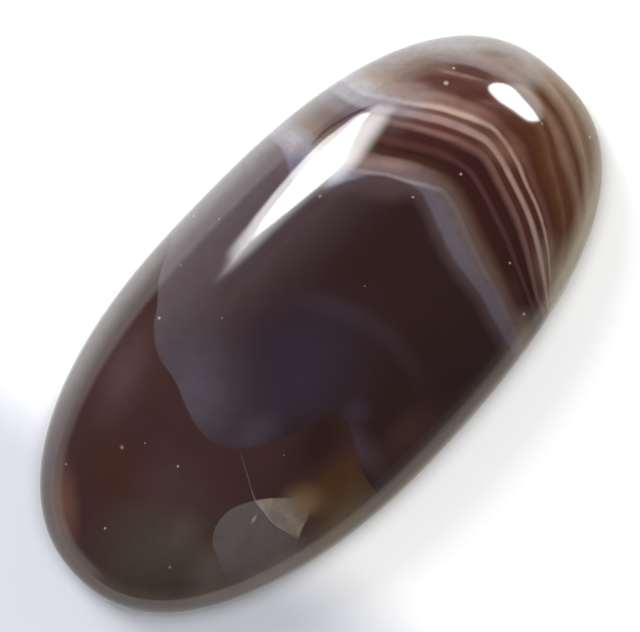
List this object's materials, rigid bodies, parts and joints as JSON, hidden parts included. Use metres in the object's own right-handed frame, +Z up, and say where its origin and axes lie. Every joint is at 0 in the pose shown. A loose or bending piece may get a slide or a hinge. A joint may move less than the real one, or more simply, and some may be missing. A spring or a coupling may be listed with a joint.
{
  "type": "banded agate cabochon",
  "caption": "Polished elongated oval agate stone with a low domed top, a soft lower edge and a flat back to rest on or set.",
  "frame": {"origin": "middle of the flat back, on the surface that the stone rests on", "axes": "+X along the stone's length, towards the end with the fine bands; +Y across its width; +Z up, out of the domed face"},
  "size_m": [0.04, 0.02, 0.0065],
  "materials": {
    "polished_agate": "high polish, dark brown agate with pale bands"
  },
  "bodies": {
    "root": {"agate_cabochon": "polished_agate"}
  },
  "joints": []
}
